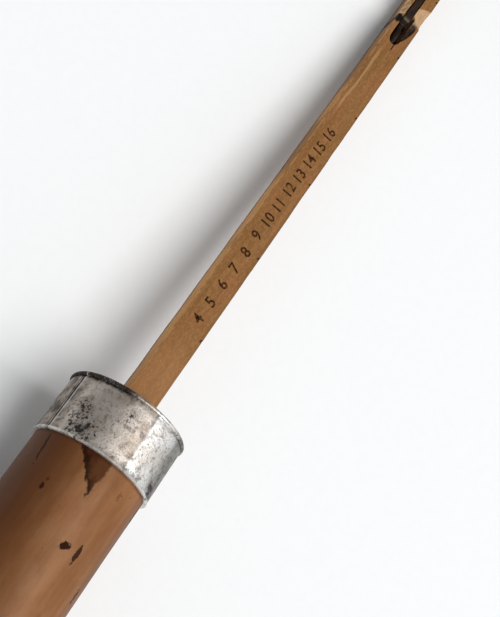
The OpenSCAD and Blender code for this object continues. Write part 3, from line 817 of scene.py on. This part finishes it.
def makeNumbers():
    s = numberSizes
    made = []
    count = s["last"] - s["first"]
    for i in range(count + 1):
        deselect()
        bpy.ops.object.text_add()
        word = bpy.context.object
        word.data.body = str(s["first"] + i)
        word.data.align_x = "CENTER"
        word.data.align_y = "CENTER"
        word.data.size = s["tall"] * s["fontShare"] * mm
        word.data.offset = s["bold"] * mm
        word.data.space_character = 1.08
        word.data.extrude = s["thick"] * mm
        word.data.resolution_u = 4
        bpy.ops.object.convert(target="MESH")
        word = bpy.context.object
        lean = noise.noise(Vector((i * 3.3, 1.2, 5)))
        x = s["from"] + (s["to"] - s["from"]) * i / count
        word.location = ((x + 0.3 * lean) * mm, 0.25 * lean * mm, half * mm)
        word.rotation_euler = (0, 0, math.radians(4 * lean))
        applyPlace(word)
        edit(word)
        leaveEdit()
        made.append(word)
    deselect()
    for word in made:
        word.select_set(True)
    bpy.context.view_layer.objects.active = made[0]
    bpy.ops.object.join()
    numbers = bpy.context.object
    numbers.name = "stampedNumbers"
    return numbers


finishPiece(makeNumbers(), "rule", [], makeInk())
print("numbers stamped")

# arm

armSizes = {
    "pivot": (1192.9, 0, (armTop + armFloor) / 2),
    "middle": 0.95,
    "barWidth": 1.9,
    "step": 961.9,
    "noseFoot": 953.0,
    "noseLength": 6.8,
    "noseRadius": 1.0,
    "noseMiddle": (0.55, armTop - 1.9),
    "webMiddle": 0.75,
    "webWidth": 1.3,
    "webFloor": armFloor + 0.8,
    "heelFoot": 1148.9,
    "heelWidth": 4.8,
    "vialMiddle": 1169.4,
    "vialLength": 22.0,
    "vialRadius": 1.6,
    "coverLength": 33.0,
    "coverThickness": 0.5,
    "screwOff": 14.3,
    "screwDepth": 2.4,
    "screwHole": 0.62,
    "pinHole": 1.04,
    "filed": 0.12,
}


def makeDarkMetal():
    mat = newMaterial("darkMetal", metallic=0.6, specular=0.25)
    s = armSizes
    mottle = grain(mat, where(mat, (0.4, 1, 1)), 0.9, 5, 0.65)
    fine = grain(mat, where(mat, (0.15, 1, 1)), 4, 4, 0.6)
    at = axes(mat, where(mat))
    tone = mix(mat, fade(mat, mottle, 0.35, 0.65), paint(36, 24, 17), paint(60, 43, 33))
    tone = mix(mat, fade(mat, fine, 0.55, 0.75, 0, 0.4), tone, paint(24, 14, 9))
    # polished by fingers at the end of the bar, on its square step, and drawn lighter there as a painted
    # highlight
    worn = times(mat, fade(mat, at["X"], s["step"] + 1.6, s["step"] + 0.2),
                 fade(mat, at["X"], s["step"] - 0.3, s["step"] - 0.1))
    tone = mix(mat, times(mat, worn, 0.6), tone, paint(122, 116, 96))
    rough = fade(mat, mottle, 0.3, 0.7, 0.52, 0.68)
    height = plus(mat, mottle, times(mat, fine, 0.4))
    return send(mat, tone, rough, height, 0.08, 0.5)


def makeArm():
    s = armSizes
    wide, mid = s["barWidth"] / 2, s["middle"]
    bar = block("leverArm", (s["step"], mid - wide, armFloor + hair),
                (s["heelFoot"] + past, mid + wide, armTop - hair))
    roundEdges(bar, s["filed"], 3)
    # the nose: a rounded lump, filed a little square, on a lower web
    noseY, noseZ = s["noseMiddle"]
    centre = Vector((s["noseFoot"] + s["noseLength"] / 2, noseY, noseZ))
    reach = Vector((s["noseLength"] / 2, s["noseRadius"], s["noseRadius"]))
    deselect()
    bpy.ops.mesh.primitive_uv_sphere_add(segments=48, ring_count=32, radius=mm, location=centre * mm,
                                         rotation=(0, math.pi / 2, 0), scale=(reach.z, reach.y, reach.x))
    nose = bpy.context.object
    applyPlace(nose)
    for v in nose.data.vertices:
        p = v.co / mm - centre
        full = sum(abs(p[i] / reach[i]) ** power for i, power in enumerate((2.8, 2.4, 2.4))) ** (1 / 2.5)
        v.co = (centre + p / max(full, 0.1)) * mm
        v.co.x = min(max(v.co.x, s["noseFoot"] * mm), (s["noseFoot"] + s["noseLength"]) * mm)
    web = block("web", (s["noseFoot"] + s["noseRadius"], s["webMiddle"] - s["webWidth"] / 2, s["webFloor"]),
                (s["step"] + 0.5, s["webMiddle"] + s["webWidth"] / 2, noseZ))
    roundEdges(web, 0.2, 2)
    carve(bar, web, "UNION")
    carve(bar, nose, "UNION")
    # heel round the pivot, with the bed of the level
    heelWide = s["heelWidth"] / 2
    heelTop = s["pivot"][0] + 2 * s["filed"]
    heel = block("heel", (s["heelFoot"], -heelWide, armFloor), (heelTop, heelWide, armTop))
    roundEdges(heel, s["filed"], 3)
    carve(bar, heel, "UNION")
    knuckle = rodAcross("knuckle", s["pivot"], (armTop - armFloor) / 2 - hair, s["heelWidth"] - 2 * hair, 64)
    carve(bar, knuckle, "UNION")
    carve(bar, rodAcross("pinHole", s["pivot"], s["pinHole"], s["heelWidth"] + 2 * past, 48))
    v0, v1 = s["vialMiddle"] - s["vialLength"] / 2, s["vialMiddle"] + s["vialLength"] / 2
    vialZ = armTop - s["coverThickness"] - s["vialRadius"]
    trough = rodAcross("trough", (0, 0, 0), s["vialRadius"], s["vialLength"], 48)
    trough.rotation_euler = (0, 0, math.pi / 2)
    trough.location = (s["vialMiddle"] * mm, 0, vialZ * mm)
    applyPlace(trough)
    carve(bar, trough)
    bedWide = s["vialRadius"] + 2 * hair
    carve(bar, block("bed", (v0 - hair, -bedWide, vialZ - 0.25), (v1 + hair, bedWide, armTop + past)))
    c0, c1 = s["vialMiddle"] - s["coverLength"] / 2, s["vialMiddle"] + s["coverLength"] / 2
    carve(bar, block("coverBed", (c0, -s["heelWidth"], armTop - s["coverThickness"]),
                     (c1, s["heelWidth"], armTop + past)))
    for side in (-1, 1):
        drill(bar, s["vialMiddle"] + side * s["screwOff"], armTop - s["screwDepth"] + 3, s["screwHole"])
    cleanUp(bar)
    smooth(bar, 35)
    return bar


darkMetal = makeDarkMetal()
finishPiece(makeArm(), "arm", ["arm"], darkMetal)
print("arm made")

# handle and its silver cap

handleSizes = {
    "foot": 1188.5,
    "capTop": 1209.9,
    "stemTop": 1241.9,
    "capRadius": 13.0,
    "stemRadius": 12.9,
    "crookRadius": 12.0,
    "taper": ((20.0, 12.45), (8.0, 12.12)),
    "crookBend": 42.0,
    "tail": 16.0,
    "blockTop": 1216.9,
    "swingTo": 1195.6,
    "swingFrom": (armTop + armFloor) / 2,
    "heelSlot": 5.4,
}
capSizes = {
    "foot": 1187.9,
    "length": 22.0,
    "radius": 13.6,
    "wall": 0.6,
    "pin": 1202.9,
    "pinRadius": 1.2,
}


def swingCutter(foot):
    # room for the arm's heel to swing out
    s = handleSizes
    wide = s["heelSlot"] / 2
    return block("swing", (foot - past, -wide, s["swingFrom"]), (s["swingTo"], wide, 16))


def makeHandle():
    s = handleSizes
    deselect()
    bpy.ops.mesh.primitive_circle_add(vertices=64, radius=s["capRadius"] * mm, fill_type="NOTHING",
                                      location=(s["foot"] * mm, 0, 0), rotation=(0, math.pi / 2, 0))
    handle = bpy.context.object
    handle.name = "rattanHandle"
    applyPlace(handle)
    edit(handle)
    # the stem thins a little on its way from the cap to the crook
    stem = [(s["capTop"], s["capRadius"]), (s["capTop"] + 4, s["stemRadius"])]
    stem += [(s["stemTop"] - below, r) for below, r in s["taper"]]
    at, radius = s["foot"], s["capRadius"]
    for x, r in stem + [(s["stemTop"], s["crookRadius"])]:
        bpy.ops.mesh.extrude_region_move(TRANSFORM_OT_translate={"value": ((x - at) * mm, 0, 0)})
        bpy.ops.transform.resize(value=(1, r / radius, r / radius), center_override=(x * mm, 0, 0))
        at, radius = x, r
    bendCentre = (s["stemTop"] * mm, s["crookBend"] * mm, 0)
    bpy.ops.mesh.spin(steps=56, angle=math.pi, center=bendCentre, axis=(0, 0, -1))
    for i in range(2):
        bpy.ops.mesh.extrude_region_move(TRANSFORM_OT_translate={"value": (-s["tail"] / 2 * mm, 0, 0)})
    noseX, noseY = s["stemTop"] - s["tail"], 2 * s["crookBend"]
    turnNow, rNow = 0, 1
    for i in range(1, 13):
        a = math.radians(7.2 * i)
        r = math.cos(a)
        move = (math.sin(turnNow) - math.sin(a)) * s["crookRadius"] * mm
        bpy.ops.mesh.extrude_region_move(TRANSFORM_OT_translate={"value": (move, 0, 0)})
        bpy.ops.transform.resize(value=(1, r / rNow, r / rNow), center_override=(noseX * mm, noseY * mm, 0))
        turnNow, rNow = a, r
    bpy.ops.mesh.select_all(action="SELECT")
    bpy.ops.mesh.remove_doubles(threshold=0.002 * mm)
    bpy.ops.mesh.fill_holes(sides=0)
    leaveEdit()
    waver(handle, 0.3, 14, lambda v: not (v.x < s["capTop"] + 2 and v.y < 20))
    carve(handle, block("tangBox", (s["foot"] - past, -half, -half), (s["blockTop"], half, half)))
    carve(handle, swingCutter(s["foot"]))
    carve(handle, rodAcross("crossHole", (capSizes["pin"], 0, 0), capSizes["pinRadius"], 30, 48))
    cleanUp(handle)
    smooth(handle, 40)
    layGrain(handle, s["stemTop"], s["crookBend"])
    return handle


def makeCap():
    s = capSizes
    outer, x0 = s["radius"], s["foot"]
    x1 = x0 + s["length"]
    outline = [(x0, 0), (x0, outer - 0.5), (x0 + 0.15, outer - 0.15), (x0 + 0.5, outer), (x0 + 7, outer),
               (x0 + 14, outer), (x1 - 0.8, outer), (x1 - 0.35, outer - 0.05), (x1 - 0.05, outer - 0.25),
               (x1, outer - s["wall"]), (x0 + s["wall"], outer - s["wall"]), (x0 + s["wall"], 0)]
    cap = turned("silverCap", outline, 128)
    carve(cap, block("blockHole", (x0 - past, -half, -half), (x0 + s["wall"] + past, half, half)))
    carve(cap, swingCutter(x0))
    carve(cap, rodAcross("crossHole", (s["pin"], 0, 0), s["pinRadius"], 30, 48))
    cleanUp(cap)
    smooth(cap, 40)
    return cap


finishPiece(makeHandle(), "rule", ["handle"], rattan)
finishPiece(makeCap(), "rule", ["handle_sleeve"], silver)
print("handle made")

# the other finishes


def makeMetal(name, bright, dull, stain, roughness=(0.28, 0.48), scale=0.6):
    mat = newMaterial(name, metallic=1.0)
    mottle = grain(mat, where(mat), scale, 5, 0.62)
    brushed = grain(mat, where(mat, (1, 0.12, 0.12)), 5, 3, 0.6)
    tone = mix(mat, fade(mat, mottle, 0.35, 0.62), bright, dull)
    tone = mix(mat, fade(mat, mottle, 0.60, 0.75, 0, 0.7), tone, stain)
    rough = plus(mat, fade(mat, mottle, 0.3, 0.7, *roughness), times(mat, brushed, 0.08))
    return send(mat, tone, rough, plus(mat, mottle, times(mat, brushed, 0.5)), 0.04, 0.5)


def makePlugWood():
    mat = newMaterial("plugWood", roughness=0.7)
    fibres = grain(mat, where(mat, (0.08, 1, 1)), 1.6, 5, 0.6)
    pores = grain(mat, where(mat, (0.3, 1, 1)), 4, 3)
    tone = mix(mat, fade(mat, fibres, 0.3, 0.7), paint(160, 122, 82), paint(196, 160, 116))
    tone = mix(mat, fade(mat, pores, 0.6, 0.75, 0, 0.5), tone, paint(110, 78, 48))
    return send(mat, tone, fade(mat, fibres, 0.3, 0.7, 0.6, 0.75), fibres, 0.08, 0.5)


def makeClear(name, low, high, ior, roughness):
    mat = newMaterial(name)
    shader = mat.node_tree.nodes["Principled BSDF"]
    shader.inputs["Transmission Weight"].default_value = 1.0
    shader.inputs["IOR"].default_value = ior
    ripple = grain(mat, where(mat, (0.3, 1, 1)), 0.8, 3)
    tone = mix(mat, fade(mat, ripple, 0.3, 0.7), low, high)
    return send(mat, tone, fade(mat, ripple, 0.3, 0.7, roughness, roughness + 0.05), ripple, 0.01, 0.3)


brassTones = (paint(190, 158, 92), paint(150, 118, 66), paint(84, 60, 36))
nickelTones = (paint(186, 180, 164), paint(150, 142, 126), paint(92, 80, 66))
steelTones = (paint(150, 146, 142), paint(116, 110, 106), paint(74, 52, 40))
finishes = {
    "brass": makeMetal("brass", *brassTones),
    "nickel": makeMetal("nickel", *nickelTones, roughness=(0.3, 0.5), scale=0.4),
    "steel": makeMetal("steel", *steelTones, roughness=(0.32, 0.55)),
    "silver": silver,
    "rattan": rattan,
    "dark_metal": darkMetal,
    "plug_wood": makePlugWood(),
    "level_glass": makeClear("levelGlass", (0.86, 0.93, 0.9, 1), (0.92, 0.97, 0.95, 1), 1.47, 0.02),
    "spirit": makeClear("spirit", (0.62, 0.74, 0.12, 1), (0.7, 0.82, 0.2, 1), 1.36, 0.0),
}
for row in frame["record"]["subparts"]:
    finish = finishes.get(row["material_slot"])
    if finish:
        target = nodes[row["node"]]
        target.data.materials.clear()
        target.data.materials.append(finish)
print("carried-over nodes finished")

# floor, lamps and world

studio = {
    "paperSize": 8.0,
    "paperMiddle": 0.6,
    "floorDrop": 17.8,
    "floorTone": 0.92,
    "spread": 20,
    "slope": 0.0895,
    "footRest": 7.6,
    "handleRest": 3.3,
    "riseTo": 974.0,
    "fallFrom": 988.0,
    "flatAgain": 1130.0,
    "lampAway": 6.0,
    "lampToward": (-0.12, -0.43, 0.89),
    "lampSize": (4.1, 4.1),
    "lampPower": 314.0,
    "cardToward": (0.0, -0.84, 0.54),
    "cardSize": (6.0, 4.4),
    "cardPower": 54.0,
    "fill": 0.30,
    "fillTint": (0.93, 0.975, 1.0, 1),
}


def floorHeight(x):
    # the paper falls away a little from the foot to the mouth and swells gently under the drawn rule
    top = studio["slope"] * (studio["riseTo"] - mouthX)
    if x < mouthX:
        return studio["footRest"] * (1 - max(0, x) / mouthX)
    if x < studio["fallFrom"]:
        return min((x - mouthX) * studio["slope"], top)
    part = min(1, (x - studio["fallFrom"]) / (studio["flatAgain"] - studio["fallFrom"]))
    return studio["handleRest"] + (top - studio["handleRest"]) * (0.5 + 0.5 * math.cos(math.pi * part))


def makeFloor():
    size, middle = studio["paperSize"], studio["paperMiddle"]
    deselect()
    bpy.ops.mesh.primitive_grid_add(x_subdivisions=800, y_subdivisions=2, size=size, location=(middle, 0, 0))
    floor = bpy.context.object
    floor.name = "floor"
    applyPlace(floor)
    for v in floor.data.vertices:
        v.co.z = (floorHeight(v.co.x / mm) - studio["floorDrop"]) * mm
        # the paper's rim is drawn far out, so that it has no edge in sight
        v.co.y *= studio["spread"]
        if abs(v.co.x - middle) > size / 2 - 0.1:
            v.co.x *= studio["spread"]
    bpy.ops.object.shade_smooth()
    mat = newMaterial("paper", roughness=0.9, specular=0.1)
    fleck = grain(mat, where(mat), 0.5, 4)
    tone = studio["floorTone"]
    send(mat, mix(mat, fade(mat, fleck, 0.3, 0.7), (tone, tone, tone, 1), (tone + 0.01,) * 3 + (1,)))
    floor.data.materials.append(mat)


def makeLamp(name, toward, size, power):
    data = bpy.data.lights.new(name, "AREA")
    data.shape = "RECTANGLE"
    data.size, data.size_y = size
    data.energy = power
    lamp = bpy.data.objects.new(name, data)
    side = Vector(toward).normalized()
    lamp.location = Vector((mouthX * mm, 0, 0)) + side * studio["lampAway"]
    lamp.rotation_euler = (-side).to_track_quat("-Z", "Y").to_euler()
    bpy.context.scene.collection.objects.link(lamp)


makeFloor()
makeLamp("softbox", studio["lampToward"], studio["lampSize"], studio["lampPower"])
makeLamp("card", studio["cardToward"], studio["cardSize"], studio["cardPower"])
world = bpy.data.worlds.new("studio")
world.use_nodes = True
world.node_tree.nodes["Background"].inputs["Color"].default_value = studio["fillTint"]
world.node_tree.nodes["Background"].inputs["Strength"].default_value = studio["fill"]
bpy.context.scene.world = world
print("studio lit")
